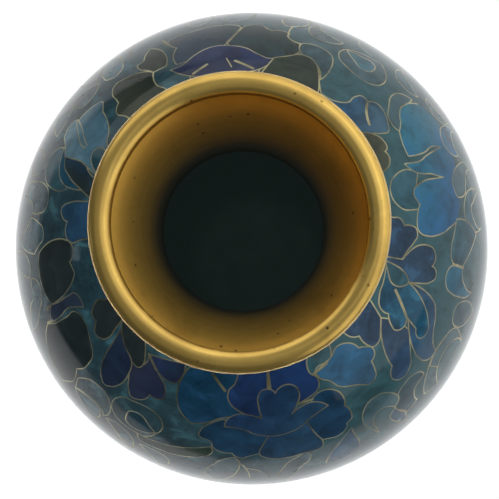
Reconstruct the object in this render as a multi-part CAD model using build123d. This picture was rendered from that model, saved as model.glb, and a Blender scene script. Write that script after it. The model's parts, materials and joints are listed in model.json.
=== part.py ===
from build123d import *
import math
import os

# A cloisonne vase: a globular copper body with a flared, gilt mouth, on a brass foot ring.
# Frame: +Z up, origin at the centre of the foot's underside.

# ---- driving dimensions, mm ----
BELLY_R = 50.0              # outside of the enamel on the belly, a true sphere
BELLY_Z = 50.0              # height of the belly's centre
HEIGHT = 125.0              # top of the mouth rim
NECK_R = 16.6               # narrowest outside radius of the neck
NECK_Z = 102.0              # height of that waist
FLARE_R = 26.8              # radius of the arc that flares from the waist up to the mouth
SHOULDER_R = 7.2            # radius of the fillet between the waist and the belly
RIM_R = 25.8                # outside radius of the mouth rim
ENAMEL_T = 0.8              # fired enamel, and the height of the wires that stand in it
COPPER_T = 1.2              # copper wall
LINING_T = 0.5              # counter-enamel inside the belly
WIRE_W = 0.26               # width of one bent wire
STEM_W = 0.56               # width of two bent wires soldered side by side
COLLAR_Z = 121.2            # joint between the neck's copper and the mouth rim
BAND_Z = 119.6              # border wire under the mouth
FOOT_R = 27.6               # outside radius of the foot ring where it stands
FOOT_TOP_R = 27.0           # outside radius of the foot ring where it meets the belly
FOOT_IN_R = 24.0            # inside radius of the foot ring
FOOT_BEAD_R = 0.7           # half-round bead along the bottom of the foot ring
BASE_Z = 4.0                # underside of the base plate
BASE_ENAMEL_T = 0.6         # counter-enamel under the base plate
FOOT_WIRE_Z = 9.2           # border wire above the foot
NECK_WIRE_Z = 96.4          # border wire where the neck meets the shoulder
GROUND_SPLIT_Z = 57.5       # the ground enamel is fired in two zones that meet here, between the motif bands
BORDER_W = 0.6              # width of a border wire
LIP_ROLL_R = 2.1            # radius of the mouth rim's rolled lip
LOWER_COUNT = 8             # blossoms round the lower belly
LOWER_TILT = 106            # their angle from the vase's axis, degrees
FOOT_LEAF_TILT = 140        # angle from the axis of the leaves above the foot, degrees
NECK_LEAF_COUNT = 8         # leaves round the neck

COPPER_IN = ENAMEL_T + COPPER_T        # depth of the copper's inner face below the enamel's surface
LINING_IN = COPPER_IN + LINING_T       # depth of the lining's inner face
BASE_TOP = BASE_Z + COPPER_T           # top of the base plate
MOTIF_START = 34.0                     # a motif's prism starts this far out along its own normal
MOTIF_REACH = BELLY_R + 2 - MOTIF_START
CORNER = True                          # marks a point where an outline turns sharply
STRAIGHT = 1e-4                        # sine of the angle below which an arc is drawn as a line
MIN_FACE = 0.03                        # mm2, smaller patches are left to the ground enamel
CHIP = 0.05                            # mm3, smaller solids are chips that break away in polishing
SCROLL_COLOURS = ("teal", "steel")     # enamels that share one node over all shoulder groups

os.makedirs("parts", exist_ok=True)


# ---- the revolved body ----

def arc_point(centre, radius, degrees):
    """Point on an arc in the (r, z) section plane."""
    angle = math.radians(degrees)
    return (centre[0] + radius * math.cos(angle), centre[1] + radius * math.sin(angle))


def section(points, arcs):
    """Closed (r, z) face: points in order, and arcs[i] is a mid point for the side after point i."""
    sides = []
    for i, start in enumerate(points):
        end = points[(i + 1) % len(points)]
        mid = arcs.get(i)
        sides.append(ThreePointArc(start, mid, end) if mid else Line(start, end))
    return Plane.XZ * make_face(sides)


def spin(face):
    return revolve(face, axis=Axis.Z, revolution_arc=360)


def ball(inset):
    """The belly's sphere, set in from the enamel's surface."""
    return Pos(0, 0, BELLY_Z) * Sphere(BELLY_R - inset)


def slab(z0, z1):
    """Everything between two heights."""
    size = 3 * BELLY_R
    return Pos(0, 0, (z0 + z1) / 2) * Box(size, size, z1 - z0)


SHOULDER_C = (NECK_R + SHOULDER_R, NECK_Z)
FLARE_C = (NECK_R + FLARE_R, NECK_Z)
SHOULDER_ANGLE = math.degrees(math.atan2(NECK_Z - BELLY_Z, SHOULDER_C[0]))


def flare_angle(inset, z):
    """Angle on the flare arc, from the waist, at which an inset surface reaches height z."""
    return math.degrees(math.asin((z - NECK_Z) / (FLARE_R + inset)))


def neck_profile(inset, z_top):
    """(point, mid point) pairs up the neck from the sphere to z_top, for a surface set in by inset."""
    shoulder = SHOULDER_R + inset
    flare = FLARE_R + inset
    low = 180 + SHOULDER_ANGLE
    top = 180 - flare_angle(inset, z_top)
    return [
        (arc_point(SHOULDER_C, shoulder, low), arc_point(SHOULDER_C, shoulder, (low + 180) / 2)),
        (arc_point(SHOULDER_C, shoulder, 180), arc_point(FLARE_C, flare, (180 + top) / 2)),
        (arc_point(FLARE_C, flare, top), None),
    ]


def neck_layer(outer, inner, z_top):
    """Neck wall between two inset surfaces, from the belly's tangent circle up to z_top."""
    outside = neck_profile(outer, z_top)
    inside = neck_profile(inner, z_top)
    points = [pair[0] for pair in outside] + [pair[0] for pair in reversed(inside)]
    arcs = {0: outside[0][1], 1: outside[1][1], 3: inside[1][1], 4: inside[0][1]}
    return spin(section(points, arcs))


def belly_layer(outer, inner, z0, z1):
    """Belly wall between two inset spheres, from z0 up to z1."""
    return (ball(outer) - ball(inner)) & slab(z0, z1)


def belly_cap(outer, inner, z0):
    """Belly wall from z0 up to the cone through the neck's tangent circle, where neck_layer starts."""
    cone_r = (BELLY_R + 10) * math.cos(math.radians(SHOULDER_ANGLE))
    cone_z = (BELLY_R + 10) * math.sin(math.radians(SHOULDER_ANGLE))
    cone = Pos(0, 0, BELLY_Z) * spin(section([(0, 0), (cone_r, cone_z), (0, cone_z)], {}))
    return belly_layer(outer, inner, z0, BELLY_Z + BELLY_R) - cone


def make_foot_ring():
    """Turned brass ring: waisted outside, half-round bead at the bottom, top fitted to the belly."""
    waist = ((FOOT_TOP_R + FOOT_R) / 2 - 0.5, BASE_Z + 1.0)
    bead_top = 2 * FOOT_BEAD_R
    body = section(
        [(FOOT_IN_R, 0), (FOOT_R, 0), (FOOT_R, bead_top), (FOOT_TOP_R, 10), (FOOT_IN_R, 10)],
        {1: (FOOT_R + FOOT_BEAD_R, FOOT_BEAD_R), 2: waist},
    )
    return spin(body) - ball(ENAMEL_T)


def make_mouth_rim():
    """Gilt rim: a heavy rolled lip that stands proud of the funnel, on a collar brazed to the neck."""
    roll = (RIM_R - LIP_ROLL_R, HEIGHT - LIP_ROLL_R)
    throat_r = FLARE_C[0] - math.sqrt((FLARE_R + COPPER_IN) ** 2 - (COLLAR_Z - NECK_Z) ** 2)
    inner_angle = 180 - math.degrees(math.acos((roll[0] - throat_r) / LIP_ROLL_R))
    return spin(section(
        [(throat_r, COLLAR_Z), (RIM_R - 1.2, COLLAR_Z), (RIM_R, roll[1]), (roll[0], HEIGHT),
         arc_point(roll, LIP_ROLL_R, inner_angle)],
        {2: arc_point(roll, LIP_ROLL_R, 45), 3: arc_point(roll, LIP_ROLL_R, (90 + inner_angle) / 2)},
    ))


# ---- wires and cells, drawn in a plane that touches the belly ----

def blend(before, here, after):
    """Direction of a smooth curve at one point, from the two chords that meet there."""
    back = here - before
    ahead = after - here
    return (back.normalized() * ahead.length + ahead.normalized() * back.length).normalized()


def mirror_in(chord, direction):
    """Direction at the other end of the single arc that spans a chord."""
    return chord * (2 * chord.dot(direction)) - direction


def arc_or_line(start, direction, end):
    chord = (end - start).normalized()
    if abs(direction.cross(chord).Z) < STRAIGHT:
        return Line(start, end)
    return TangentArc(start, end, tangent=direction)


def bend(start, leave, end, arrive):
    """Wire between two points, as one line or two tangent arcs."""
    chord = (end - start).normalized()
    if leave is None and arrive is None:
        return [Line(start, end)]
    if leave is None:
        leave = mirror_in(chord, arrive)
    if arrive is None:
        arrive = mirror_in(chord, leave)
    span = end - start
    both = leave + arrive
    turn = 2 * (1 - leave.dot(arrive))
    along = span.dot(both)
    if turn < 1e-9:
        reach = span.length ** 2 / (4 * span.dot(arrive))
    else:
        reach = (math.sqrt(along ** 2 + turn * span.dot(span)) - along) / turn
    control_in = start + leave * reach
    control_out = end - arrive * reach
    middle = (control_in + control_out) * 0.5
    mid_direction = (control_out - control_in).normalized()
    return [arc_or_line(start, leave, middle), arc_or_line(middle, mid_direction, end)]


def curve(points, closed):
    """Edges through the points: smooth at plain points, sharp at those marked CORNER."""
    places = [Vector(p[0], p[1]) for p in points]
    count = len(places)
    directions = []
    for i, point in enumerate(points):
        at_end = not closed and i in (0, count - 1)
        if at_end or len(point) > 2:
            directions.append(None)
        else:
            directions.append(blend(places[i - 1], places[i], places[(i + 1) % count]))
    edges = []
    for i in range(count if closed else count - 1):
        j = (i + 1) % count
        edges += bend(places[i], directions[i], places[j], directions[j])
    return edges


def grown(face, amount):
    return offset(face, amount, kind=Kind.ARC)


def cell(colour, *points):
    """A closed wire with enamel of one colour inside."""
    face = make_face(curve(points, True))
    return (colour, grown(face, WIRE_W / 2), grown(face, -WIRE_W / 2))


def strip(width, points):
    """An open wire with round ends, as overlapping slots."""
    slots = []
    for edge in curve(points, False):
        if edge.geom_type == GeomType.LINE:
            slots.append(SlotCenterToCenter(edge.length, width))
            slots[-1] = Pos(*edge.center()) * Rot(0, 0, math.degrees(
                math.atan2(edge.tangent_at(0).Y, edge.tangent_at(0).X))) * slots[-1]
        else:
            slots.append(SlotArc(edge, width))
    return Sketch() + slots


def vein(*points):
    """One open wire."""
    return (None, strip(WIRE_W, points), None)


def open_cell(colour, wired, *unwired):
    """Enamel of one colour with wire along only part of its edge; the rest runs into the ground."""
    face = make_face(curve([*wired, *unwired], True))
    wire = strip(WIRE_W, wired)
    return (colour, face + wire, face - wire)


def stem(*points):
    """Two wires side by side, soldered together."""
    return (None, strip(STEM_W, points), None)


def tidy(faces):
    """Drop slivers that no enameller could fill."""
    kept = [face for face in faces.faces() if face.area > MIN_FACE]
    return Sketch() + kept if kept else None


def layout(motifs):
    """Front-first drawing order: each motif hides what is listed after it."""
    taken = Sketch()
    wires = Sketch()
    fills = {}
    for colour, outer, inner in motifs:
        ribbon = outer - inner if inner else outer
        wires = wires + (ribbon - taken)
        if inner:
            fill = inner - taken
            fills[colour] = fills[colour] + fill if colour in fills else fill
        taken = taken + outer
    return tidy(taken), tidy(wires), {colour: tidy(fill) for colour, fill in fills.items()}


def touch_plane(bearing, tilt):
    """Plane that touches the belly: x runs round the vase, y runs up toward the neck."""
    a = math.radians(bearing)
    t = math.radians(tilt)
    normal = Vector(math.sin(t) * math.cos(a), math.sin(t) * math.sin(a), math.cos(t))
    origin = Vector(0, 0, BELLY_Z) + normal * MOTIF_START
    return Plane(origin=origin, x_dir=(-math.sin(a), math.cos(a), 0), z_dir=normal)


# ---- motif groups round the shoulder, each listed front first ----

def front_peony():
    """Full flower: a heart standing in a boat-shaped petal, with petals spread behind it."""
    return [
        cell("royal", (-7.3, 4.7, CORNER), (-5.6, 7.8), (-4, 8.3), (-2.5, 8), (0, 6.8, CORNER),
             (-0.4, 10), (-0.3, 12.3), (0.6, 13.7), (2, 13.8), (3, 12.7, CORNER), (4, 13.9), (5.4, 14.3),
             (6.8, 13.6), (7.5, 12), (6.8, 8.9), (5.8, 7, CORNER), (7.5, 8.3), (9.8, 8.9), (11.5, 8.2),
             (12.8, 6.8, CORNER), (10, 5.3), (6.5, 2.4), (2.5, 1.3), (-1, 2), (-4, 4)),
        stem((2.1, 13.8), (2, 19)),
        stem((7.3, 9.2), (9.9, 9.6)),
        stem((10.4, 15.2), (13, 16.6)),
        cell("royal", (1.5, 2.5, CORNER), (-0.6, -1.7), (-1.3, -3.8), (-1.2, -5.2), (0, -6.4), (4, -7.3),
             (8, -6.6), (10, -6.6), (11.2, -5.6), (11.3, -4.2), (9.8, 0), (8.7, 3.2), (8.2, 5, CORNER)),
        cell("azure", (7.5, 5, CORNER), (9, 0, CORNER), (10.2, -3, CORNER), (12.5, -3.4), (14, -3.6),
             (15.4, -2.8), (16.2, -0.2, CORNER), (17.1, 0.6), (17.2, 2.4), (16, 5.2, CORNER), (16, 7),
             (14, 10.4), (12.4, 11), (9.9, 9.7, CORNER), (9.3, 8, CORNER)),
        cell("azure", (-7.6, 6.8, CORNER), (-9.5, 5.8), (-12.2, 3), (-12.6, 1.4), (-11.8, 0.5, CORNER),
             (-10.7, 0), (-10.4, -1.6, CORNER), (-9, -3.6), (-6.7, -4, CORNER), (-5.9, -5.5), (-5, -6),
             (-3.5, -5.3), (-1, -4.2, CORNER), (0, -3.5, CORNER), (2, 2.5, CORNER), (-4, 6, CORNER)),
        cell("navy", (-3.6, 19, CORNER), (-4.3, 15.6), (-5.6, 14.1), (-6, 12.2), (-5.4, 10.4),
             (-3.6, 8.6), (-0.2, 7.3), (1.2, 8, CORNER), (2, 19, CORNER)),
        cell("navy", (2, 19, CORNER), (2, 12.5, CORNER), (6.3, 9.3, CORNER), (8.8, 10), (11.3, 12.2),
             (11.3, 13.8), (9.6, 16.2), (9.6, 19, CORNER)),
        stem((-6.4, 14), (-8.3, 17.5)),
        cell("azure", (-13.6, 4.9, CORNER), (-15.4, 7.5), (-15.8, 10.5), (-15.2, 13.8),
             (-12.5, 18.5, CORNER), (-3.5, 18.5, CORNER), (-4.5, 12, CORNER), (-3, 9.2, CORNER),
             (-4.5, 7.4, CORNER), (-7.6, 7.2), (-10.5, 5.7)),
        cell("teal", (7.5, -6.5, CORNER), (6, -7.8), (4.2, -9.5), (2.8, -12.5), (1.9, -16),
             (3, -19.5, CORNER), (5.4, -16), (6.5, -13.2), (8.4, -10), (8.6, -8)),
        cell("steel", (-6.4, -5.8, CORNER), (-5.5, -8), (-5.7, -10), (-6.3, -12.5), (-8, -16.5),
             (-11.5, -20, CORNER), (-13, -14), (-10.5, -9), (-9, -7)),
        vein((-5.3, -8.5), (-4.5, -11), (-4.1, -17)),
        vein((-4.6, -10.8), (-3, -11.5), (-1, -14), (0, -18)),
    ]


def front_right_leaves():
    """Pale petal and violet leaf above a run of curled scrolls."""
    return [
        stem((-8.2, 13.2), (-5, 13.6)),
        vein((-4, 13.8), (-2.8, 15.5), (-2.6, 17.5)),
        cell("azure", (-8, 13.2), (-4, 13.8), (-1.5, 14.7), (0, 13.9), (0.9, 12.6), (1.1, 11.2, CORNER),
             (2.3, 10.2), (3, 9.2), (2.6, 7.4), (1.2, 6.6, CORNER), (0.9, 5), (-0.5, 2.5), (-1.4, 2.3),
             (-3.8, 4.5), (-6.5, 7.2), (-7.1, 9.6), (-8.1, 11.5)),
        cell("violet", (8.1, 12.1, CORNER), (6, 9.5), (4.1, 5), (3.6, 1.5, CORNER), (2.4, 0.2),
             (2.4, -2.5), (3.9, -3.7), (6, -3), (8.2, 0.3), (9.4, 2.5), (10.7, 4.6, CORNER),
             (10, 9, CORNER)),
        cell("violet", (1.4, 18, CORNER), (1.1, 15), (1.6, 13.9), (2.7, 13, CORNER), (2.5, 11.8),
             (2.7, 10.3), (3.5, 8.8), (4.5, 8.7), (6.6, 10.5), (8.1, 12.2, CORNER), (9, 18, CORNER)),
        cell("steel", (-7.6, -10.5), (-8, -8), (-7.2, -4.5), (-6, -2.8), (-4.5, -1.8), (-3, -1.8),
             (-1.5, -2.4), (-0.2, -4), (0.5, -5.8), (0.6, -8), (-1.2, -9.7, CORNER), (-1.8, -8.3),
             (-2.8, -7), (-4, -6.6), (-5, -7), (-6, -8.2), (-6.7, -10), (-6.7, -13), (-7, -14.5, CORNER)),
        cell("teal", (-1.2, -10, CORNER), (-0.2, -8.3), (1.3, -6.5), (3, -5.7), (4.8, -5.5), (6.3, -6.2),
             (7.3, -7.5), (7.4, -9, CORNER), (5.5, -9.4), (4.3, -10), (3.3, -12), (3.2, -15, CORNER),
             (0, -16, CORNER), (-0.4, -13.5), (-1.1, -11.8)),
        cell("azure", (-1.1, -10, CORNER), (-2.3, -10.8), (-3.2, -11.8), (-3.3, -13), (-2.4, -17),
             (-1.2, -19, CORNER), (-0.3, -16), (-1, -12.2)),
        cell("steel", (5, -16, CORNER), (6.3, -12), (8, -9.8), (9.5, -8.2), (11.2, -7.1), (13, -6.7),
             (16.2, -7.2, CORNER), (15.5, -9.4, CORNER), (13.5, -9.8), (11.5, -10.6), (10, -12.8),
             (8.6, -18, CORNER)),
        open_cell(
            "azure",
            [(-18.9, -14.7, CORNER), (-16.7, -10.7), (-14.6, -8.8), (-12.3, -7), (-10.2, -5.6, CORNER),
             (-10.6, -7.9), (-10.7, -11), (-11.5, -14.5, CORNER)],
            (-15, -16.5),
        ),
    ]


def right_hearts():
    """Violet hearts and a small drop above a two-lobed azure leaf."""
    return [
        cell("teal", (0.6, 15, CORNER), (-1.5, 13.9), (-3, 12.8), (-3.5, 11.2), (-3.2, 9.8), (-2.3, 8.8),
             (-1.3, 9.3), (-0.3, 10.8), (0.3, 12.8)),
        stem((-4.3, 11.3), (-8.5, 6.8)),
        cell("azure", (0.4, 14.8, CORNER), (-3, 14.5), (-6, 14.5), (-7.9, 13.7), (-8.9, 11.2, CORNER),
             (-10.8, 9.6), (-11.6, 8), (-10.1, 6.2), (-8.5, 6.8, CORNER), (-9.7, 4.5),
             (-10.4, 2.9, CORNER), (-11.7, 1.9), (-12, 0.4), (-10.3, -0.9), (-8.5, 0.1), (-5, 3.7),
             (-2.4, 8.6), (-2, 12, CORNER)),
        cell("violet", (-2.2, 9, CORNER), (-1.9, 6), (-1.2, 3), (0, 1.6), (1.9, 3.3, CORNER), (3.8, 2.6),
             (5.2, 3.5), (5.6, 5.5), (5, 8), (3.5, 9.9), (1.7, 11.3, CORNER), (1.2, 18, CORNER),
             (0, 14, CORNER), (-1.5, 10, CORNER)),
        cell("violet", (1.7, 11.4, CORNER), (3.5, 10.5), (5.3, 9.2), (7, 8.4), (8.1, 8.9), (8.4, 10.1),
             (8, 11.9, CORNER), (9.2, 13.2), (9, 14.5), (8.6, 18, CORNER), (1.2, 18, CORNER)),
        cell("violet", (-2.3, 8, CORNER), (-2.6, 5.5), (-4, 1.3), (-5, -0.3), (-6.5, -1.3), (-11, -3.3),
             (-12.2, -4.2), (-13.5, -6.4, CORNER), (-15.3, -5.8), (-16, -4), (-15.8, -2), (-14, 1.6),
             (-11, 4.7, CORNER), (-9, 6, CORNER), (-7, 3, CORNER), (-3.5, 7.5, CORNER)),
        stem((3.5, -3.5), (3.5, -7.8)),
        cell("azure", (-0.6, -14, CORNER), (-1.8, -12), (-2.3, -8), (-2.2, -5.5), (-0.8, -2.3),
             (0.9, -1.7), (2.5, -2.3), (3.4, -4.5), (3.4, -7.7, CORNER), (1.4, -8.3), (0.2, -9.8)),
        cell("teal", (3.6, -7.4, CORNER), (3.7, -3.6), (4.5, -2.6), (6, -2.2), (10, -3),
             (12.4, -3.7, CORNER), (12.6, -9), (11, -13, CORNER), (7, -10.2)),
        cell("steel", (-16.6, -11, CORNER), (-16.8, -7.3, CORNER), (-13, -6.8), (-11, -7.8), (-9.3, -9),
             (-8.3, -11), (-8.9, -14), (-10.5, -17, CORNER), (-11, -12), (-13, -10.3)),
        cell("teal", (-8, -10.3, CORNER), (-6.8, -8.4), (-5.5, -8), (-4, -8.5), (-3, -10.5), (-2.6, -14),
             (-4.2, -18, CORNER), (-7.8, -13.5)),
    ]


def right_flower():
    """Open azure flower, its lower petals running down to the arches."""
    return [
        cell("steel", (-1.2, -14, CORNER), (-1.5, -10), (-3.3, -5.5), (-4.5, -4.3), (-6, -4.1),
             (-7.3, -4.4), (-7.9, -6.7), (-7.2, -9), (-5.5, -10.5), (-3.9, -12), (-2.8, -16, CORNER)),
        cell("azure", (0.4, -12, CORNER), (1.2, -8.4), (3.4, -7.2), (5.8, -8.4), (7, -11.5),
             (5.6, -17, CORNER), (3.6, -12.5)),
        open_cell(
            "azure",
            [(12.6, -6, CORNER), (13, -1.5), (12.3, 1.3), (11, 2.9), (9.5, 4), (8, 5.7, CORNER), (5.5, 6.7),
             (4, 6.9), (2.7, 6.9, CORNER), (2.5, 2), (3.3, -2.2), (2.7, -5, CORNER), (1.9, 1), (1.1, 5),
             (1.3, 7), (1.5, 8.8, CORNER), (-0.7, 6.8), (-1.4, 4.8), (-1.9, 2.3), (-2.7, 0.2),
             (-3.2, -1.5, CORNER), (-3, 1), (-2.8, 5.5), (-3.2, 7.5), (-3.8, 8.9), (-4.8, 9.4), (-6, 9),
             (-6.8, 8.6, CORNER), (-9.8, 10.5), (-11, 10.7), (-12.2, 9.9), (-12.9, 8.5), (-13.4, 4),
             (-12.6, 0), (-12.2, -1.9, CORNER)],
            (-8, -5.5), (-2, -8), (4, -9.6), (9.5, -9),
        ),
        cell("teal", (-7.6, 8.8, CORNER), (-7.3, 11), (-6.8, 12.8), (-5.6, 14.1), (-4, 14.8),
             (-2.5, 14.7), (-1, 13.8), (-0.1, 12.3), (0.3, 8.7, CORNER), (-0.7, 6.2, CORNER),
             (-3.5, 8.2, CORNER)),
        cell("violet", (1, 18, CORNER), (1.3, 14.5), (2.6, 12.2), (3.7, 11.7), (4.9, 12.1, CORNER),
             (5.3, 11.3), (7.4, 11.2), (9, 12.8), (9.6, 18, CORNER)),
        cell("teal", (-14.8, -14.5, CORNER), (-15.3, -10.5), (-15, -8.5), (-13.8, -6.9), (-12, -5.9),
             (-10.2, -6.3), (-8.5, -7.8), (-7.3, -9.8), (-6.8, -13), (-7.6, -18, CORNER), (-9.2, -12.6),
             (-10.8, -10), (-13, -10.4)),
        cell("steel", (7.6, -16, CORNER), (8, -12), (9.6, -10.2), (12, -10.4), (13.6, -13, CORNER),
             (11, -13.8)),
    ]


def back_right_loops():
    """Veined blue petal, oval loop with a drop inside, and crescents."""
    return [
        stem((-7.7, 11.4), (-6.3, 10), (-5, 7.2)),
        cell("royal", (-9.2, 18, CORNER), (-9.2, 12.6), (-10.5, 11), (-11.4, 9.2), (-10.2, 7.3),
             (-7.8, 5.4), (-6.8, 5.2), (-4.9, 6.8, CORNER), (-4, 6.3), (-3.2, 6.4), (-2.5, 7.4),
             (-1.6, 10.7), (-0.7, 11.5), (3, 12.2, CORNER), (4, 18, CORNER)),
        cell("steel", (-13, 6.7, CORNER), (-11.8, 7), (-10.3, 6.5), (-8.5, 3), (-7.8, 0), (-9.3, -4.2),
             (-11.4, -5.5, CORNER), (-11.3, -3), (-10.6, 0), (-10.9, 1.8), (-12.8, 5)),
        cell("azure", (4.9, -6.1, CORNER), (3.8, -4.5), (2, -2.9), (0.3, -1.8), (-0.8, -2), (-1.9, -4.3),
             (-0.8, -7.2), (2, -6.8)),
        cell("steel", (-2.4, -9.4, CORNER), (-4.8, -5), (-5.1, -2.8), (-4, 0.5), (-2.6, 1.5), (-1, 1.7),
             (3, 0.6), (4.5, -0.3), (5.4, -1.8), (5.7, -4), (4.9, -6.3, CORNER), (2, -8.4)),
        cell("steel", (5, 9, CORNER), (4.7, 7), (4.8, 4.5), (5.3, 2), (6.2, 0), (9.5, -1.4), (11.3, -1),
             (12.6, 0, CORNER), (12, 3), (10.8, 4.2, CORNER), (9.3, 4.1), (7.8, 5)),
        cell("olive", (3.5, 18, CORNER), (4, 11.8), (4.8, 10), (6.5, 6.8), (7.8, 5), (9.3, 4.1),
             (10.8, 4.2), (13.5, 6.8), (15, 8.3, CORNER), (15, 14, CORNER)),
        vein((12.6, 0.2), (15, 0), (16.5, -3.5), (16.7, -6.5)),
        cell("teal", (-12, -9, CORNER), (-10.2, -7.4), (-7.4, -7.8), (-5.6, -10.5), (-6.2, -16, CORNER),
             (-8.8, -11.4)),
        cell("steel", (6.4, -8.6, CORNER), (8.4, -5.4), (11.4, -4.8), (13.6, -7.6), (12.8, -13.5, CORNER),
             (10.3, -9.6)),
        vein((0.4, -10.4), (2.6, -11.6), (4.4, -17)),
    ]


def back_peony():
    """The front flower again, its heart tucked under the mouth."""
    return [
        stem((0.9, 9.5), (-2.5, 11.9)),
        stem((6.4, 9.7), (9, 11.7)),
        vein((1.6, 11.3), (2.6, 8.5)),
        cell("violet", (13.6, 8.8, CORNER), (12, 8.6), (8.5, 5.5), (6.8, 4.3), (4.5, 3.7), (2, 4.1),
             (-0.5, 4.9), (-4, 7.8), (-5.3, 8.6), (-6.7, 8.5, CORNER), (-6, 10), (-4.5, 11.6), (2, 13),
             (10.5, 11.7)),
        stem((2.5, 2.8), (1.2, 0), (-0.2, -3.6)),
        cell("olive", (-6.7, 8.5, CORNER), (-8.5, 7.7), (-10.5, 6.6), (-11.6, 5), (-11.6, 2, CORNER),
             (-10.3, 1.2), (-9.8, -2, CORNER), (-8, -3), (-6.5, -2.6, CORNER), (-5.3, -3.6), (-4.6, -5),
             (-2.6, -5.4), (-0.2, -3.6, CORNER), (1.2, 0), (2.5, 3.2, CORNER), (1, 6, CORNER),
             (-4, 9, CORNER)),
        cell("olive", (12.4, 7.6, CORNER), (13.2, 4.4), (12.6, 1.2, CORNER), (14, -0.8), (14.4, -3.6),
             (12.5, -4.8), (8.5, -5.5), (3, -6.2), (0.4, -5), (-0.2, -3.6, CORNER), (1.2, 0),
             (2.5, 3, CORNER), (6, 7, CORNER)),
        stem((12.6, 1.2), (14, -0.8), (15, -3), (15.7, -5)),
        cell("olive", (-15.5, 17, CORNER), (-15.1, 12.7), (-15.2, 10.5), (-13.7, 6.6), (-12.3, 6),
             (-8, 7.9), (-6.8, 8.5, CORNER), (-3.6, 12.5, CORNER), (-4.5, 17.6, CORNER)),
        cell("navy", (-4.6, 18, CORNER), (-4.5, 12.4), (2, 12, CORNER), (10, 11, CORNER), (9.4, 14.4),
             (9.6, 18, CORNER)),
        cell("steel", (-9.4, -6, CORNER), (-8.4, -9.4), (-9.6, -14), (-12.6, -18, CORNER), (-14.2, -12.6),
             (-12.2, -7.6)),
        cell("teal", (1.6, -8, CORNER), (-1, -9.6), (-2.8, -13), (-1.6, -18, CORNER), (2.2, -14.6),
             (3.6, -10.6)),
        cell("steel", (8.4, -8.4, CORNER), (6.4, -11.2), (6, -15), (8.6, -18.6, CORNER), (11.4, -13.8),
             (10.8, -9.8)),
    ]


def back_left_leaves():
    """Dark petal and an azure leaf with a long hairpin vein."""
    return [
        cell("teal", (10.2, 16, CORNER), (10.2, 12.8), (10.8, 11.7), (12, 11.3), (13, 11.8), (13.7, 13),
             (13.6, 17, CORNER)),
        vein((10.4, 0), (11.4, 5.2), (12.8, 8.3), (13, 7.3), (12.6, 5), (11.4, 1.2), (10.8, -0.6)),
        cell("azure", (9.6, 16, CORNER), (9, 13.2), (7, 10.8), (5.7, 6.5), (5.6, 5, CORNER), (4.8, 3.5),
             (4.4, 2), (6, 0.8), (10.4, -0.1, CORNER), (10.7, -1.2), (12.5, -1.9), (14, -1.4),
             (15.8, 2.2), (17, 4.2, CORNER), (15, 10, CORNER), (14.4, 16, CORNER)),
        cell("olive", (2.4, 18, CORNER), (2.7, 11.8), (3.7, 8.6), (2.2, 6.8, CORNER), (2.1, 5.8),
             (1.9, 2.5), (0.6, 0.6), (-3, 1.5), (-4.8, 2.6), (-6.9, 5.6, CORNER), (-5.8, 8.5), (-5.7, 10),
             (-6.4, 12), (-5.6, 18, CORNER)),
        cell("olive", (-6.9, 5.6, CORNER), (-6.2, 3.5), (-5.4, 2), (-5.6, -0.6, CORNER), (-6.7, -0.5),
             (-8, -2.5), (-9.8, -4.6, CORNER), (-11.2, 0), (-9.6, 6, CORNER)),
        cell("teal", (-3, -15, CORNER), (-4.3, -12), (-4, -8), (-2.2, -3.2), (-0.8, -2.6), (0.4, -3.5),
             (1.1, -8), (0.9, -11)),
        cell("steel", (2.5, -6, CORNER), (3.3, -4.2), (4.8, -3), (6.5, -2.5), (8, -3), (9, -4.6),
             (9.2, -7), (8.2, -10, CORNER), (5, -8.4)),
        cell("teal", (9.4, -8, CORNER), (11, -5.8), (13, -4.7), (15.8, -4.4, CORNER), (15.6, -8),
             (13.4, -12.6, CORNER), (11.6, -9.6)),
        vein((2, -9.4), (4, -11.4), (5.6, -17)),
        vein((-6.2, -6), (-6.6, -10), (-8.6, -16)),
    ]


def left_leaves():
    """Royal petal, dark leaf with a crescent behind it, and tall arches."""
    return [
        cell("royal", (-0.4, 18, CORNER), (-0.2, 12), (0.5, 7), (1.2, 5.3), (1.9, 4.7), (3, 5.1),
             (4.2, 7.3, CORNER), (6, 7), (7.3, 7.6), (8, 8.9), (7.2, 11.8), (5.4, 18, CORNER)),
        cell("navy", (-4.6, 17, CORNER), (-5, 11.8), (-6, 10), (-7.8, 8), (-8.8, 4.3, CORNER),
             (-9.8, 3.2), (-10, 1.4), (-8.8, 0.9), (-7.5, 1.3), (-4.2, 5.3), (-2.2, 9.6),
             (-0.8, 12.5, CORNER), (-1, 17, CORNER)),
        cell("azure", (-2.2, 9.6, CORNER), (-2.3, 6), (-2.9, 3.5), (-4.2, 1.5), (-5.8, 0.3), (-8, -0.6),
             (-10.4, -1, CORNER), (-9.8, 2.4, CORNER), (-7, 3.4, CORNER)),
        cell("teal", (-1.9, 4.8, CORNER), (-1.5, 3), (-2, -1), (-2.7, -3), (-5, -5.3), (-6.8, -5.9),
             (-8.3, -5.5), (-9.6, -4.2), (-10.2, -0.8, CORNER), (-7.4, 1.6, CORNER), (-3.2, 4.4, CORNER)),
        cell("steel", (-2.6, -14, CORNER), (-3, -10), (-2.5, -4), (-1.8, -2.3), (-0.7, -1.2), (1, -0.8),
             (2.4, -1.4), (3.5, -5), (3.4, -7.4, CORNER), (1.8, -8), (0.9, -10.3), (0, -15, CORNER)),
        cell("teal", (4.4, -7.6, CORNER), (5, -4), (6.6, -1), (8.3, -0.8), (9.5, -2.2),
             (11.4, -4.4, CORNER), (10.8, -10), (8.8, -15, CORNER), (6.6, -9.6)),
        cell("steel", (-9.4, -18, CORNER), (-9.4, -11.4), (-6.4, -6.6, CORNER), (-5, -8.5), (-4.3, -11),
             (-5.4, -15.4)),
        cell("teal", (11.4, -16, CORNER), (11.7, -10), (12.5, -8), (14, -7), (16.2, -7.4, CORNER),
             (15.6, -12), (13.6, -17, CORNER)),
    ]


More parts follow.
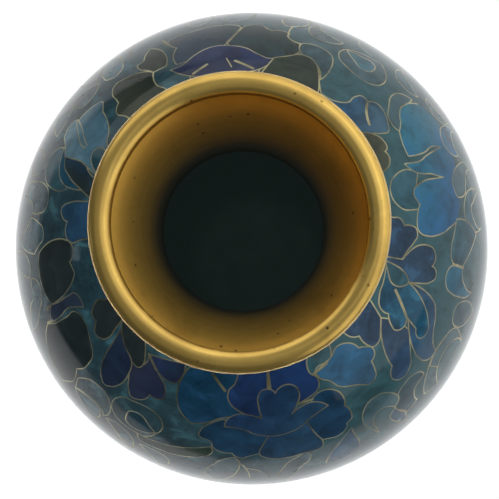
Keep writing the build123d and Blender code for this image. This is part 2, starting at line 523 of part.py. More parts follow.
def left_flower():
    """Dark flower: three tall lobes, two drops and a heart below the mouth."""
    return [
        stem((-6.9, -3.4), (-7.2, -6)),
        cell("olive", (-7.1, -5.9, CORNER), (-6.3, -3.5), (-5.7, 1.5), (-5.1, 5.8), (-4.2, 6.4),
             (-2.5, 6.5), (0.7, 5.2), (3.5, 3), (4.3, 0), (4.4, -2), (3.6, -4.7, CORNER), (4.3, -6.3),
             (5, -10), (4.4, -12.5), (3.4, -15.5, CORNER), (-1, -14), (-5.4, -10)),
        cell("navy", (-9.5, -1.2, CORNER), (-9, 2), (-8.8, 5), (-8, 8), (-7, 8.4), (-5.1, 8.3, CORNER),
             (-5.6, 7.3), (-6.8, 4), (-6.5, 0), (-6.8, -4, CORNER), (-8, -3.4)),
        stem((-9.5, -0.9), (-9.6, -3.4)),
        cell("olive", (-9.5, -0.9, CORNER), (-9.4, 1), (-9.5, 5), (-10.7, 8.6), (-11.5, 9.6),
             (-12.8, 9.6), (-13.9, 9.4, CORNER), (-14.2, 10.3), (-15.5, 11.3), (-17, 11), (-18.4, 9.4),
             (-19.8, 5.6), (-19.6, 0, CORNER), (-14.6, -2.2)),
        cell("navy", (2.7, 13.5, CORNER), (3.8, 10), (4.8, 6.5), (6, 3.6), (7.8, 1), (9.2, 0.2),
             (10.4, 1.5), (11, 3.8), (10.3, 8.3), (9.2, 10.5), (5, 12.4)),
        cell("olive", (-3.2, 18, CORNER), (-3.8, 14.2), (-4.5, 12.5), (-4.2, 11), (-2.3, 9.3),
             (-1.4, 9.5, CORNER), (-1, 8.8), (0.6, 7.5), (1.9, 8.2), (2.5, 10.4), (1.9, 12.6),
             (0.6, 18, CORNER)),
        cell("olive", (1.3, 15, CORNER), (5.5, 12.2), (8.5, 11), (10.4, 11.4), (10.3, 13), (9.2, 14.5),
             (5.8, 17.4, CORNER)),
        cell("steel", (5.2, -7, CORNER), (6, -4.6), (7.2, -2.8), (8.8, -1.8), (10.2, -1.6), (13.2, -3.8),
             (14.2, -6), (14, -10, CORNER), (12.2, -7.8), (9, -8.6), (6.3, -11, CORNER)),
        cell("teal", (6.3, -11.4, CORNER), (9, -9.2), (12, -8.4), (13.4, -10.6), (12.6, -16, CORNER),
             (8.8, -13.6)),
        cell("teal", (-16.6, -7, CORNER), (-15.8, -4.3), (-14.5, -3.3), (-12.8, -3.7), (-10.2, -7.5),
             (-8.8, -11), (-8.6, -17, CORNER), (-12.2, -12.4), (-14, -8)),
    ]


def front_left_drops():
    """Violet and navy drops over an oval loop that trails into a long leaf."""
    return [
        stem((-6, 16.4), (-3.5, 14.2)),
        stem((-8.8, 12.3), (-8.2, 9.5)),
        cell("violet", (-8.8, 12.3, CORNER), (-7.9, 9), (-7.1, 6), (-5.8, 4.3), (-4.6, 4.7),
             (-2.8, 7.8, CORNER), (-1.4, 7.6), (-0.2, 8.4), (-0.2, 10.4), (-3.5, 14.3),
             (-6, 16.4, CORNER), (-6.3, 13.4)),
        cell("navy", (-6, 16.4, CORNER), (-2.5, 13.7), (-0.8, 13.2), (0.7, 13.6), (1.4, 15),
             (1, 18.5, CORNER)),
        cell("azure", (1, -2.8, CORNER), (-0.3, -1.5), (-3.5, 0.7), (-4.7, 0.3), (-5.6, -2.8),
             (-5.2, -4.5), (-4.3, -5.1), (-0.8, -4.5)),
        cell("steel", (-5.5, 3.4), (-7.3, 2.8), (-8.6, 1.2), (-9.2, -1), (-8, -4.8), (-6.4, -6),
             (-4, -6.6), (-1, -6.5, CORNER), (0.6, -4.6), (1.2, -2.9, CORNER), (2, -0.3), (1.7, 1.5),
             (0.5, 3.2), (-1, 3.9), (-3, 4)),
        cell("olive", (12, -0.2, CORNER), (9, -2.6), (6, -4.5), (1.5, -6.2), (-2.2, -6.6, CORNER),
             (-1.8, -8.5), (3, -9), (7.5, -7.8), (10.5, -5.8), (12.4, -3.4), (12.7, -1.6)),
        cell("steel", (-9.4, -9, CORNER), (-6.4, -8), (-3.8, -9.4), (-2.6, -12), (-3.4, -18, CORNER),
             (-6.4, -13)),
        cell("teal", (-1.2, -11.4, CORNER), (2, -10.6), (4.6, -11.6), (5.6, -14), (4, -19, CORNER),
             (1.4, -14.6)),
    ]


SHOULDER_GROUPS = [
    ("front_peony", front_peony, -85, 52),
    ("right_hearts", right_hearts, -12, 50),
    ("front_right", front_right_leaves, -47, 50),
    ("right_flower", right_flower, 22, 52),
    ("back_right", back_right_loops, 56, 52),
    ("back_peony", back_peony, 92, 54),
    ("back_left", back_left_leaves, 130, 54),
    ("left_flower", left_flower, 212, 52),
    ("left_leaves", left_leaves, 168, 52),
    ("front_left", front_left_drops, 243, 54),
]


# ---- repeated motifs on the lower belly, the foot border and the neck ----

def turned(points, degrees, shift):
    """Points turned about the origin and moved up by shift."""
    c = math.cos(math.radians(degrees))
    s = math.sin(math.radians(degrees))
    return [(x * c - y * s, x * s + y * c + shift, *rest) for x, y, *rest in points]


def lower_unit():
    """Five-petalled blossom between four leaves, with stems running to its neighbours."""
    petal = [(0, 0.8, CORNER), (3.9, 6.2), (2.6, 8.9), (0, 7.8, CORNER), (-2.6, 8.9), (-3.9, 6.2)]
    upper_leaf = [(6.6, 8.4, CORNER), (13, 9.6), (15.5, 15.5, CORNER), (9, 13.2)]
    lower_leaf = [(6, -9, CORNER), (12.6, -7.8), (16.6, -12.4, CORNER), (9.4, -13)]
    motifs = [("azure",) + cell("azure", (1.3, 0), (0, 1.3), (-1.3, 0), (0, -1.3))[1:]]
    for i in range(5):
        colour = "royal" if i % 2 else "azure"
        motifs.append(cell(colour, *turned(petal, i * 72, 0)))
    for leaf in (upper_leaf, lower_leaf):
        motifs.append(cell("teal", *leaf))
        motifs.append(cell("teal", *[(-x, y, *rest) for x, y, *rest in reversed(leaf)]))
    motifs.append(stem((-3.4, 8.4), (-4.5, 13), (-1, 17.5)))
    motifs.append(vein((8.5, 2.4), (13, 3.6), (17.4, 0)))
    motifs.append(vein((-8.5, 2.4), (-13, -0.6), (-17.4, 2)))
    return motifs


def foot_leaf():
    """Short rounded leaf that stands on the border above the foot."""
    return [
        vein((0, -6.5), (0, 0.5)),
        cell("teal", (-5.4, -8, CORNER), (-5.6, -3), (-3.6, 1.4), (0, 4, CORNER), (3.6, 1.4), (5.6, -3),
             (5.4, -8, CORNER)),
    ]


def neck_leaf():
    """Upright pointed leaf on the waist of the neck."""
    return [
        vein((0, -2.5), (0, 4)),
        cell("azure", (-4.4, -4.2, CORNER), (-5, 0), (-3.4, 5), (0, 9, CORNER), (3.4, 5), (5, 0),
             (4.4, -4.2, CORNER)),
    ]


class EnamelLayer:
    """A layer of enamel from which motifs are cut, so that wires, cells and ground never overlap."""

    def __init__(self, solid):
        self.solid = solid
        self.blocks = []

    def near(self, block):
        """Blocks cut before this one that could touch it."""
        box = block.bounding_box()
        return [other for other in self.blocks if box.overlaps(other.bounding_box())]

    def inlay(self, plane, reach, motifs):
        """Cut one set of motifs out of the layer; returns its wires and its cells by colour."""
        taken, wires, fills = motifs
        block = extrude(plane * taken, reach, dir=plane.z_dir)
        piece = self.solid & block
        earlier = self.near(block)
        if earlier:
            piece = piece - earlier
        self.blocks.append(block)
        wire_solids = piece & extrude(plane * wires, reach, dir=plane.z_dir)
        cells = {}
        for colour, faces in fills.items():
            if faces:
                cells[colour] = piece & extrude(plane * faces, reach, dir=plane.z_dir)
        return wire_solids, cells

    def repeat(self, count, offset, plane, reach, motifs):
        """The same motifs cut count times round the axis, from one inlay at bearing 0."""
        wires, cells = self.inlay(plane, reach, motifs)
        block = self.blocks.pop()
        spins = [Rot(0, 0, (i + offset) * 360 / count) for i in range(count)]
        self.blocks += [turn * block for turn in spins]
        copies = {colour: [turn * cell for turn in spins] for colour, cell in cells.items()}
        return [turn * wires for turn in spins], copies

    def ground(self, z0, z1):
        """What is left of the layer between two heights."""
        zone = self.solid & slab(z0, z1)
        box = zone.bounding_box()
        return zone - [block for block in self.blocks if box.overlaps(block.bounding_box())]


def add_solids(table, name, shape):
    table.setdefault(name, []).extend(shape.solids())


def write(name, shapes):
    """One STEP file for one node, from one shape or a list of solids."""
    solids = [solid for solid in shapes if solid.volume > CHIP]
    shape = solids[0] if len(solids) == 1 else Compound(solids)
    export_step(shape, f"parts/{name}.step", write_pcurves=False)


def make_motifs(belly, neck):
    """All wires and enamel cells, as lists of solids by node name."""
    nodes = {}
    for name, draw, bearing, tilt in SHOULDER_GROUPS:
        wires, cells = belly.inlay(touch_plane(bearing, tilt), MOTIF_REACH, layout(draw()))
        add_solids(nodes, f"{name}_wires", wires)
        for colour, solids in cells.items():
            node = f"scroll_{colour}" if colour in SCROLL_COLOURS else f"{name}_{colour}"
            add_solids(nodes, node, solids)
    neck_plane = Plane(origin=(NECK_R - 4, 0, NECK_Z + 2), x_dir=(0, 1, 0), z_dir=(1, 0, 0))
    rings = [
        ("lower", belly, LOWER_COUNT, 0.5, touch_plane(0, LOWER_TILT), MOTIF_REACH, lower_unit()),
        ("foot_leaf", belly, LOWER_COUNT, 0.5, touch_plane(0, FOOT_LEAF_TILT), MOTIF_REACH, foot_leaf()),
        ("neck_leaf", neck, NECK_LEAF_COUNT, 0, neck_plane, 2 * SHOULDER_R, neck_leaf()),
    ]
    for prefix, layer, count, start, plane, depth, motifs in rings:
        wires, cells = layer.repeat(count, start, plane, depth, layout(motifs))
        for wire in wires:
            add_solids(nodes, f"{prefix}_wires", wire)
        for colour, copies in cells.items():
            for copy in copies:
                add_solids(nodes, f"{prefix}_{colour}", copy)
    return nodes


def ring_wire(layer, z):
    """Border wire: a level band of an enamel layer, taken out of it."""
    band = slab(z - BORDER_W / 2, z + BORDER_W / 2)
    wire = layer.solid & band
    layer.solid = layer.solid - band
    return wire


def disc(radius, z0, z1):
    return Pos(0, 0, (z0 + z1) / 2) * Cylinder(radius, z1 - z0)


def make_body():
    """Structural pieces, by node name."""
    lining_floor = ball(COPPER_IN) & slab(BASE_TOP, BASE_TOP + LINING_T)
    lining = belly_cap(COPPER_IN, LINING_IN, BASE_TOP) + lining_floor
    return {
        "foot_ring": make_foot_ring(),
        "base_plate": disc(FOOT_IN_R, BASE_Z, BASE_TOP),
        "base_enamel": disc(FOOT_IN_R, BASE_Z - BASE_ENAMEL_T, BASE_Z),
        "lower_shell": belly_layer(ENAMEL_T, COPPER_IN, BASE_TOP, BELLY_Z),
        "upper_shell": belly_cap(ENAMEL_T, COPPER_IN, BELLY_Z),
        "neck_shell": neck_layer(ENAMEL_T, COPPER_IN, COLLAR_Z),
        "mouth_rim": make_mouth_rim(),
        "lining_enamel": lining,
    }


belly_enamel = EnamelLayer(belly_cap(0, ENAMEL_T, FOOT_WIRE_Z - BORDER_W / 2))
neck_enamel = EnamelLayer(neck_layer(0, ENAMEL_T, COLLAR_Z))
body = make_body()
body["foot_border_wire"] = ring_wire(belly_enamel, FOOT_WIRE_Z)
body["neck_border_wire"] = ring_wire(neck_enamel, NECK_WIRE_Z)
body["mouth_border_wire"] = ring_wire(neck_enamel, BAND_Z)
motif_nodes = make_motifs(belly_enamel, neck_enamel)
body["lower_ground"] = belly_enamel.ground(0, GROUND_SPLIT_Z)
body["shoulder_ground"] = belly_enamel.ground(GROUND_SPLIT_Z, HEIGHT)
body["neck_ground"] = neck_enamel.ground(0, HEIGHT)
for node_name, shape in body.items():
    write(node_name, shape.solids())
for node_name, solids in motif_nodes.items():
    write(node_name, solids)
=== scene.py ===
"""Cloisonne vase: enamel and gilt finishes for the CAD nodes, with a floor, studio light and a camera."""

import json
import math
from collections import namedtuple

import bpy
from mathutils import Matrix, Vector


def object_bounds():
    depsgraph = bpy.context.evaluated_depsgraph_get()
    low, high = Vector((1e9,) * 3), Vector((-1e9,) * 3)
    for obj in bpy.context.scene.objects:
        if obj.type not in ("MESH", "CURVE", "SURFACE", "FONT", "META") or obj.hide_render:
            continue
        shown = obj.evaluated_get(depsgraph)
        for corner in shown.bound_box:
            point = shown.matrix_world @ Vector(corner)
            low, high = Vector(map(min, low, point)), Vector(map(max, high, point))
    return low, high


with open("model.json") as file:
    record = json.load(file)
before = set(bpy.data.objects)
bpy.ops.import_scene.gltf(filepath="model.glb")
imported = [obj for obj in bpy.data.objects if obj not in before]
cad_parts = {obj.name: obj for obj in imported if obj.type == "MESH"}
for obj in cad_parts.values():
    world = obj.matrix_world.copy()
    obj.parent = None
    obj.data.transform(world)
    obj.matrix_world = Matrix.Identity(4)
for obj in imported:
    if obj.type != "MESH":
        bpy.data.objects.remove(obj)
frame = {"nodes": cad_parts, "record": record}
cad_box = [list(corner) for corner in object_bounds()]

# ---- dimensions in metres, worked out from the frame ----

MM = 0.001
BELLY_R = cad_box[1][0]
BELLY_C = Vector((0.0, 0.0, BELLY_R))
HEIGHT = cad_box[1][2]
THROAT_Z = 0.80 * HEIGHT
LIP_Z = 0.98 * HEIGHT
WOBBLE = 0.006

# ---- camera and floor ----

CAMERA_OFFSET = Vector((0.0103, -0.0220, 0.3492))
AIM_OFFSET = Vector((-0.00046, -0.00017, 0.0))
SENSOR_MM = 36.0
LENS_MM = 118.0
FLOOR_HALF = 3.0

# ---- light ----

WHITE = (1.0, 1.0, 1.0)
WARM = (1.0, 0.97, 0.92)
COOL = (0.75, 0.88, 1.0)
ROOM_LIGHT = (0.93, 0.97, 1.0)
ROOM_STRENGTH = 0.13
OPEN_SPREAD = 180.0

# ---- finishes ----

SEED_STEP = (1.7, 0.9, 2.3)
ENAMEL_IOR = 1.28
ENAMEL_ROUGH = 0.06
DARK_PATCH = 0.60
LIGHT_PATCH = 1.5
PAINTED_PIT_SHADE = 0.25
LINING_IOR = 1.06
LINING_ROUGH = 0.55
# Painted glow of the lining: a faint light of its own, in place of light bounced about inside the belly.
STRAY_LIGHT_GLOW = (0.0058, 0.0096, 0.0087)
SOOT = (0.036, 0.037, 0.028)
STAIN_SHADE = 0.5
# Painted light and shade on the gilding: paler at the front left and browner and darker towards the back
# right, along a bearing in degrees between a start and an end in mm.
PAINTED_LIGHT_GILDING = (1.22, 1.22, 1.10)
PAINTED_SHADE_GILDING = (0.78, 0.62, 0.48)
SHADED_SIDE_BEARING = 45
SHADED_SIDE_START = -16
SHADED_SIDE_END = 20
RING_SHARE = 0.12
ROUGH_SPAN = 0.14

# The Mix node has the same socket names for every data type; these are the numbers of the colour ones.
MIX_FACTOR = 0
MIX_A = 6
MIX_B = 7
MIX_RESULT = 2


# ---- node helpers ----

def scaled(colour, factor):
    return tuple(factor * channel for channel in colour)


class Graph:
    """A material's node tree, with short calls for the nodes that the materials here use."""

    def __init__(self, name):
        self.material = bpy.data.materials.new(name)
        self.material.use_nodes = True
        self.tree = self.material.node_tree
        self.shader = self.tree.nodes["Principled BSDF"]
        self.place = self.add("ShaderNodeNewGeometry").outputs["Position"]

    def add(self, kind, **values):
        node = self.tree.nodes.new(kind)
        for key, value in values.items():
            setattr(node, key, value)
        return node

    def link(self, source, target):
        self.tree.links.new(source, target)

    def set(self, **values):
        """Constants on the shader's own sockets."""
        for key, value in values.items():
            self.shader.inputs[key.replace("_", " ")].default_value = value

    def noise(self, scale, detail, roughness=0.55, distortion=0.0, vector=None):
        node = self.add("ShaderNodeTexNoise")
        node.inputs["Scale"].default_value = scale
        node.inputs["Detail"].default_value = detail
        node.inputs["Roughness"].default_value = roughness
        node.inputs["Distortion"].default_value = distortion
        self.link(vector or self.place, node.inputs["Vector"])
        return node.outputs["Fac"]

    def rings(self, height, scale, detail):
        """Noise that varies with height alone, as a lathe leaves it."""
        node = self.add("ShaderNodeTexNoise", noise_dimensions="1D")
        node.inputs["Scale"].default_value = scale
        node.inputs["Detail"].default_value = detail
        self.link(height, node.inputs["W"])
        return node.outputs["Fac"]

    def voronoi(self, scale, vector=None):
        node = self.add("ShaderNodeTexVoronoi", feature="F1")
        node.inputs["Scale"].default_value = scale
        self.link(vector or self.place, node.inputs["Vector"])
        return node.outputs["Distance"]

    def ramp(self, value, *stops):
        """Map a value through (position, grey) stops."""
        node = self.add("ShaderNodeValToRGB")
        elements = node.color_ramp.elements
        while len(elements) < len(stops):
            elements.new(0.5)
        for element, (position, grey) in zip(elements, stops):
            element.position = position
            element.color = (grey, grey, grey, 1)
        self.link(value, node.inputs["Fac"])
        return node.outputs["Color"]

    def mix(self, factor, a, b, blend="MIX"):
        """Mix two colours, greys or sockets by a number or a socket."""
        node = self.add("ShaderNodeMix", data_type="RGBA", blend_type=blend)
        for index, value in ((MIX_FACTOR, factor), (MIX_A, a), (MIX_B, b)):
            socket = node.inputs[index]
            if isinstance(value, tuple):
                socket.default_value = (*value, 1)
            elif not isinstance(value, (int, float)):
                self.link(value, socket)
            elif index == MIX_FACTOR:
                socket.default_value = value
            else:
                socket.default_value = (value, value, value, 1)
        return node.outputs[MIX_RESULT]

    def map_range(self, value, start, end, curve="LINEAR"):
        """0 to 1 as the value goes from start to end."""
        node = self.add("ShaderNodeMapRange", interpolation_type=curve)
        node.inputs["From Min"].default_value = start
        node.inputs["From Max"].default_value = end
        self.link(value, node.inputs["Value"])
        return node.outputs["Result"]

    def across(self, bearing, start, end, wobble):
        """0 to 1 over a level distance in mm along a bearing, with an uneven front."""
        turn = math.radians(bearing)
        along = self.add("ShaderNodeVectorMath", operation="DOT_PRODUCT")
        along.inputs[1].default_value = (math.cos(turn), math.sin(turn), 0.0)
        self.link(self.place, along.inputs[0])
        front = self.add("ShaderNodeMath", operation="MULTIPLY_ADD")
        front.inputs[1].default_value = WOBBLE
        self.link(wobble, front.inputs[0])
        self.link(along.outputs["Value"], front.inputs[2])
        first = start * MM + WOBBLE / 2
        last = end * MM + WOBBLE / 2
        return self.map_range(front.outputs["Value"], first, last, "SMOOTHSTEP")

    def bump(self, height, strength, distance, normal=None):
        node = self.add("ShaderNodeBump")
        node.inputs["Strength"].default_value = strength
        node.inputs["Distance"].default_value = distance
        self.link(height, node.inputs["Height"])
        if normal:
            self.link(normal, node.inputs["Normal"])
        return node.outputs["Normal"]


# ---- enamel ----

# A tone drifts from near to far along a bearing in degrees, between start and end in mm from the axis; the
# drift is partly the enamel's own graded colour and partly painted light and shade.
Tone = namedtuple("Tone", "near far bearing start end")

# The usual tone of each material slot. The ground's drift, from dark at the left to light at the right
# across the whole vase, is painted light and shade.
SLOT_TONES = {
    "ground_enamel": Tone((0.010, 0.028, 0.038), (0.030, 0.084, 0.098), 10, -36, 34),
    "royal_enamel": Tone((0.012, 0.045, 0.110), (0.020, 0.060, 0.130), 10, -40, 40),
    "azure_enamel": Tone((0.012, 0.060, 0.110), (0.030, 0.110, 0.180), 10, -40, 40),
    "navy_enamel": Tone((0.008, 0.018, 0.045), (0.012, 0.030, 0.070), 10, -40, 40),
    "violet_enamel": Tone((0.014, 0.030, 0.066), (0.024, 0.048, 0.090), 10, -40, 40),
    "olive_enamel": Tone((0.010, 0.018, 0.017), (0.022, 0.034, 0.024), 45, -30, 40),
    "teal_enamel": Tone((0.016, 0.050, 0.064), (0.028, 0.090, 0.118), 50, -10, 38),
    "steel_enamel": Tone((0.008, 0.028, 0.036), (0.055, 0.110, 0.128), -12, -20, 36),
    "lining_enamel": Tone((0.0014, 0.0024, 0.0022), (0.0018, 0.0028, 0.0026), 45, -30, 30),
}

# The pieces of the shoulder that were fired to a tone of their own. Their drifts are partly graded enamel
# and partly painted light and shade.
NODE_TONES = {
    "front_peony_azure": Tone((0.003, 0.024, 0.050), (0.008, 0.036, 0.076), -51, 14, 38),
    "front_peony_navy": Tone((0.007, 0.019, 0.057), (0.008, 0.026, 0.082), 75, -32, -22),
    "front_peony_royal": Tone((0.008, 0.027, 0.068), (0.013, 0.044, 0.084), -39, 22, 35),
    "front_right_azure": Tone((0.010, 0.052, 0.100), (0.018, 0.085, 0.165), 120, -38, -26),
    "front_right_violet": Tone((0.014, 0.034, 0.064), (0.030, 0.066, 0.120), -80, 19, 30),
    "right_hearts_azure": Tone((0.006, 0.045, 0.085), (0.022, 0.115, 0.185), 27, 16, 38),
    "right_hearts_violet": Tone((0.014, 0.033, 0.062), (0.024, 0.072, 0.130), -62, 12, 38),
    "right_flower_azure": Tone((0.024, 0.150, 0.220), (0.016, 0.085, 0.190), -25, 20, 36),
    "right_flower_violet": Tone((0.040, 0.050, 0.035), (0.060, 0.070, 0.048), 43, 28, 31),
    "back_right_royal": Tone((0.016, 0.069, 0.134), (0.045, 0.100, 0.147), -9, 15, 24),
    "back_right_azure": Tone((0.035, 0.120, 0.160), (0.050, 0.150, 0.190), 0, 15, 35),
    "back_peony_violet": Tone((0.009, 0.022, 0.080), (0.020, 0.028, 0.062), -93, -37, -31),
    "back_peony_olive": Tone((0.010, 0.030, 0.024), (0.012, 0.030, 0.052), -140, -32, -14),
    "back_left_olive": Tone((0.012, 0.020, 0.014), (0.024, 0.032, 0.022), -123, -20, -8),
    "back_left_azure": Tone((0.030, 0.088, 0.130), (0.083, 0.150, 0.185), 173, 29, 38),
    "left_leaves_azure": Tone((0.005, 0.036, 0.064), (0.007, 0.048, 0.082), 90, -10, 20),
    "left_leaves_navy": Tone((0.012, 0.019, 0.017), (0.010, 0.030, 0.052), 69, -2, 2),
    "left_leaves_royal": Tone((0.007, 0.026, 0.046), (0.012, 0.040, 0.078), -50, -27, -20),
    "left_flower_navy": Tone((0.006, 0.014, 0.033), (0.012, 0.021, 0.038), 121, -11, 9),
    "left_flower_olive": Tone((0.005, 0.013, 0.014), (0.011, 0.017, 0.018), 39, -42, -27),
    "front_left_azure": Tone((0.004, 0.024, 0.036), (0.010, 0.038, 0.056), -97, 36, 40),
    "front_left_violet": Tone((0.008, 0.014, 0.034), (0.014, 0.020, 0.040), 102, -27, -20),
    "front_left_navy": Tone((0.008, 0.015, 0.030), (0.009, 0.018, 0.044), 173, 8, 14),
    "front_left_olive": Tone((0.005, 0.018, 0.016), (0.016, 0.034, 0.022), -52, 22, 30),
}


def shifted_place(g, seed):
    """The place on the vase, moved so that no two enamels have the same clouds."""
    mapping = g.add("ShaderNodeMapping")
    mapping.inputs["Location"].default_value = scaled(SEED_STEP, seed)
    g.link(g.place, mapping.inputs["Vector"])
    return mapping.outputs["Vector"]


def pitting(g, place):
    """0 in a few small pits, 1 everywhere else."""
    pits = g.ramp(g.voronoi(scale=260, vector=place), (0.0, 0.0), (0.07, 1.0))
    spared = g.ramp(g.noise(scale=140, detail=2, roughness=0.5, vector=place), (0.56, 1.0), (0.60, 0.0))
    return g.mix(spared, pits, 1.0)


def enamel(name, tone, seed, rough=ENAMEL_ROUGH):
    """Fired enamel: one tone that drifts into another across the vase, partly graded enamel and partly
    painted light and shade, with patches, grain and small pits darkened with painted shade.
    """
    g = Graph(name)
    place = shifted_place(g, seed)
    clouds = g.noise(scale=120, detail=4, distortion=0.4, vector=place)
    patches = g.noise(scale=230, detail=3, distortion=0.6, vector=place)
    grain = g.noise(scale=1100, detail=3, roughness=0.6, vector=place)
    # The drift is partly the enamel's own graded colour and partly painted light and shade.
    drift = g.across(tone.bearing, tone.start, tone.end, clouds)
    colour = g.mix(drift, tone.near, tone.far)
    colour = g.mix(g.ramp(patches, (0.50, 0.0), (0.66, 1.0)), colour, DARK_PATCH, "MULTIPLY")
    colour = g.mix(g.ramp(patches, (0.32, 0.60), (0.46, 0.0)), colour, scaled(tone.far, LIGHT_PATCH))
    colour = g.mix(g.ramp(grain, (0.40, 0.0), (0.72, 0.30)), colour, tone.far)
    smooth = pitting(g, place)
    # Painted shade: the small pits are darkened to a quarter of the near tone.
    g.link(g.mix(smooth, scaled(tone.near, PAINTED_PIT_SHADE), colour), g.shader.inputs["Base Color"])
    g.link(g.bump(smooth, strength=0.35, distance=0.0001), g.shader.inputs["Normal"])
    g.set(Roughness=rough, IOR=ENAMEL_IOR)
    return g


def lining(name, tone, seed):
    """Dull counter-enamel, with a faint painted glow that stands in for the light that strays about inside
    the belly.
    """
    g = enamel(name, tone, seed, LINING_ROUGH)
    # Painted glow: the lining shines faintly by itself, standing in for light bounced about inside the
    # belly.
    g.set(IOR=LINING_IOR, Emission_Color=(*STRAY_LIGHT_GLOW, 1), Emission_Strength=1.0)
    return g


# ---- metal ----

def darken_throat(g, colour, height, rings, blotch):
    """Gilding with painted light and shade across it, browner and darker towards the back right and paler
    at the front left, and painted shade that deepens down the throat, where it also turns to dull dark
    soot and loses its shine.
    """
    # Painted light and shade: the gilding is made paler on the front left and browner and darker towards
    # the back right.
    side_light_and_shade = g.mix(g.across(SHADED_SIDE_BEARING, SHADED_SIDE_START, SHADED_SIDE_END, blotch), PAINTED_LIGHT_GILDING, PAINTED_SHADE_GILDING)
    colour = g.mix(1.0, colour, side_light_and_shade, "MULTIPLY")
    depth = g.mix(RING_SHARE, g.map_range(height, THROAT_Z, LIP_Z), rings)
    # Painted shade that deepens down the throat.
    shade = g.ramp(depth, (0.10, 0.06), (0.32, 0.14), (0.58, 0.50), (0.85, 1.0))
    colour = g.mix(1.0, colour, shade, "MULTIPLY")
    bare = g.ramp(depth, (0.30, 0.0), (0.62, 0.72), (0.92, 1.0))
    g.link(bare, g.shader.inputs["Metallic"])
    return g.mix(bare, SOOT, colour)


def turned_metal(name, bright, deep, tarnish, rough, sooty_and_shaded=False):
    """Metal turned round the vase's axis, with soft stains and dark specks of wear."""
    g = Graph(name)
    axes = g.add("ShaderNodeSeparateXYZ")
    g.link(g.place, axes.inputs["Vector"])
    height = axes.outputs["Z"]
    rings = g.rings(height, scale=900, detail=3)
    blotch = g.noise(scale=70, detail=4, roughness=0.6, distortion=0.5)
    colour = g.mix(g.ramp(blotch, (0.35, 0.0), (0.7, 1.0)), bright, deep)
    stain = g.noise(scale=45, detail=5, roughness=0.62, distortion=0.8)
    colour = g.mix(g.ramp(stain, (0.52, 0.0), (0.72, 0.45)), colour, scaled(deep, STAIN_SHADE))
    specks = g.ramp(g.voronoi(scale=420), (0.05, 1.0), (0.16, 0.0))
    worn = g.ramp(g.noise(scale=210, detail=2, roughness=0.5), (0.53, 0.0), (0.60, 1.0))
    colour = g.mix(g.mix(worn, 0.0, specks), colour, tarnish)
    # Down the throat the gilding gets painted shade, and painted light and shade across its sides.
    if sooty_and_shaded:
        colour = darken_throat(g, colour, height, rings, blotch)
    else:
        g.set(Metallic=1.0)
    g.link(colour, g.shader.inputs["Base Color"])
    turned = g.bump(rings, strength=0.10, distance=0.00010)
    scuffs = g.noise(scale=700, detail=3, roughness=0.6)
    scuffed = g.bump(scuffs, strength=0.12, distance=0.00005, normal=turned)
    g.link(scuffed, g.shader.inputs["Normal"])
    g.link(g.ramp(blotch, (0.3, rough), (0.75, rough + ROUGH_SPAN)), g.shader.inputs["Roughness"])
    return g


def wire_metal(name, bright, dull):
    """Thin gilt wire, dulled unevenly along its length."""
    g = Graph(name)
    worn = g.ramp(g.noise(scale=160, detail=3, roughness=0.6), (0.40, 0.0), (0.64, 1.0))
    g.link(g.mix(worn, bright, dull), g.shader.inputs["Base Color"])
    scuffs = g.noise(scale=1800, detail=2, roughness=0.5)
    g.link(g.bump(scuffs, strength=0.15, distance=0.00004), g.shader.inputs["Normal"])
    g.set(Metallic=0.9, Roughness=0.38)
    return g


METALS = {
    "wire": wire_metal("wire", bright=(0.38, 0.36, 0.21), dull=(0.12, 0.11, 0.06)),
    "gilt_brass": turned_metal(
        "gilt_brass",
        bright=(0.76, 0.52, 0.14),
        deep=(0.60, 0.39, 0.10),
        tarnish=(0.12, 0.07, 0.03),
        rough=0.27,
    ),
    "gilt_copper": turned_metal(
        "gilt_copper",
        bright=(0.76, 0.50, 0.12),
        deep=(0.58, 0.36, 0.08),
        tarnish=(0.14, 0.08, 0.03),
        rough=0.32,
        sooty_and_shaded=True,
    ),
    "copper": turned_metal(
        "copper",
        bright=(0.60, 0.30, 0.18),
        deep=(0.40, 0.18, 0.10),
        tarnish=(0.12, 0.06, 0.04),
        rough=0.35,
    ),
}


# ---- the finish of every CAD node ----

def paint_cad():
    """Put a material on every CAD node, by its slot and, for some enamels, by its own firing."""
    enamels = {}
    for part in frame["record"]["subparts"]:
        node = part["node"]
        slot = part["material_slot"]
        finish = METALS.get(slot)
        if finish is None:
            key = node if node in NODE_TONES else slot
            if key not in enamels:
                tone = NODE_TONES.get(key) or SLOT_TONES[key]
                fire = lining if slot == "lining_enamel" else enamel
                enamels[key] = fire(key, tone, len(enamels))
            finish = enamels[key]
        materials = frame["nodes"][node].data.materials
        materials.clear()
        materials.append(finish.material)


# ---- floor, light and camera ----

def make_floor():
    """A plain pale floor under the foot ring."""
    mesh = bpy.data.meshes.new("floor")
    corners = [(FLOOR_HALF * x, FLOOR_HALF * y, 0) for x, y in ((-1, -1), (1, -1), (1, 1), (-1, 1))]
    mesh.from_pydata(corners, [], [(0, 1, 2, 3)])
    floor = bpy.data.objects.new("floor", mesh)
    bpy.context.scene.collection.objects.link(floor)
    g = Graph("floor")
    g.link(g.ramp(g.noise(scale=6, detail=3), (0.3, 0.93), (0.7, 0.96)), g.shader.inputs["Base Color"])
    g.set(Roughness=0.9)
    mesh.materials.append(g.material)


def make_world():
    """Dim room light, so that the panels below shape the reflections."""
    world = bpy.data.worlds.new("studio")
    world.use_nodes = True
    background = world.node_tree.nodes["Background"]
    background.inputs["Color"].default_value = (*ROOM_LIGHT, 1)
    background.inputs["Strength"].default_value = ROOM_STRENGTH
    bpy.context.scene.world = world


# Where a light stands, the point it faces, the lengths of its sides, its brightness, its colour, and its
# spread in degrees.
Panel = namedtuple("Panel", "name place target size radiance colour spread")

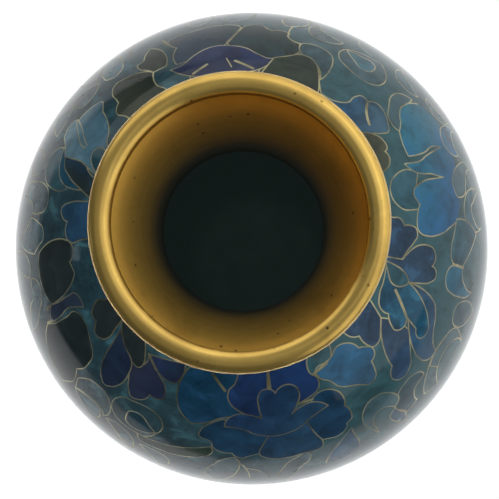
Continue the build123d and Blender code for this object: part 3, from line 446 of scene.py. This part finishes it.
# Two soft pools of light: a small one on the vase, and a wide one over its back right and the floor there.
POOLS = (
    Panel("pool_near", (0.019, -0.041, 0.70), (0.0, 0.0, 0.05), (0.24, 0.24), 0.30, WHITE, 14.0),
    Panel("pool_far", (0.2125, 0.225, 0.60), (0.2125, 0.225, 0.0), (0.775, 0.75), 0.80, WHITE, 3.5),
)

# Pale panels that only the polished surfaces pick up: the room as they mirror it.
MIRRORED = (
    Panel("ceiling", (0.0, 0.0, 1.30), (0.0, 0.0, 0.0), (2.4, 2.4), 0.16, WHITE, OPEN_SPREAD),
    Panel("skylight", (0.95, 0.75, 1.25), (0.95, 0.75, 0.0), (1.7, 1.7), 0.60, WHITE, OPEN_SPREAD),
    Panel("wall_back", (-0.22, 0.66, 0.42), (-0.22, 0.0, 0.42), (1.76, 0.84), 1.00, WARM, OPEN_SPREAD),
    Panel("wall_right", (0.66, -0.26, 0.42), (0.0, -0.26, 0.42), (1.84, 0.84), 0.90, WARM, OPEN_SPREAD),
    Panel("window_right", (0.59, -0.61, 0.36), (0.0, 0.0, 0.12), (0.06, 0.08), 0.9, COOL, OPEN_SPREAD),
    Panel("window_left", (-0.60, -0.02, 0.09), (-0.05, 0.0, 0.09), (0.05, 0.07), 2.0, COOL, OPEN_SPREAD),
)


def hang(panel):
    """An area light as bright as its panel says, whatever its size."""
    data = bpy.data.lights.new(panel.name, "AREA")
    data.shape = "RECTANGLE"
    data.size, data.size_y = panel.size
    data.energy = panel.radiance * math.pi * panel.size[0] * panel.size[1]
    data.spread = math.radians(panel.spread)
    data.color = panel.colour
    light = bpy.data.objects.new(panel.name, data)
    light.location = panel.place
    facing = Vector(panel.target) - Vector(panel.place)
    light.rotation_euler = facing.to_track_quat("-Z", "Y").to_euler()
    light.visible_camera = False
    bpy.context.scene.collection.objects.link(light)
    return light


def make_lights():
    for panel in POOLS:
        hang(panel).visible_glossy = False
    for panel in MIRRORED:
        hang(panel).visible_diffuse = False


def make_camera():
    """The photograph's viewing angle: almost straight down, a little to the front and right."""
    data = bpy.data.cameras.new("camera")
    data.sensor_width = SENSOR_MM
    data.lens = LENS_MM
    camera = bpy.data.objects.new("camera", data)
    place = BELLY_C + CAMERA_OFFSET
    ahead = (BELLY_C + AIM_OFFSET - place).normalized()
    right = ahead.cross(Vector((0.0, 1.0, 0.0))).normalized()
    up = right.cross(ahead)
    camera.matrix_world = Matrix((
        (right.x, up.x, -ahead.x, place.x),
        (right.y, up.y, -ahead.y, place.y),
        (right.z, up.z, -ahead.z, place.z),
        (0, 0, 0, 1),
    ))
    bpy.context.scene.collection.objects.link(camera)
    bpy.context.scene.camera = camera
    bpy.context.scene.view_settings.view_transform = "Standard"


paint_cad()
make_floor()
make_world()
make_lights()
make_camera()
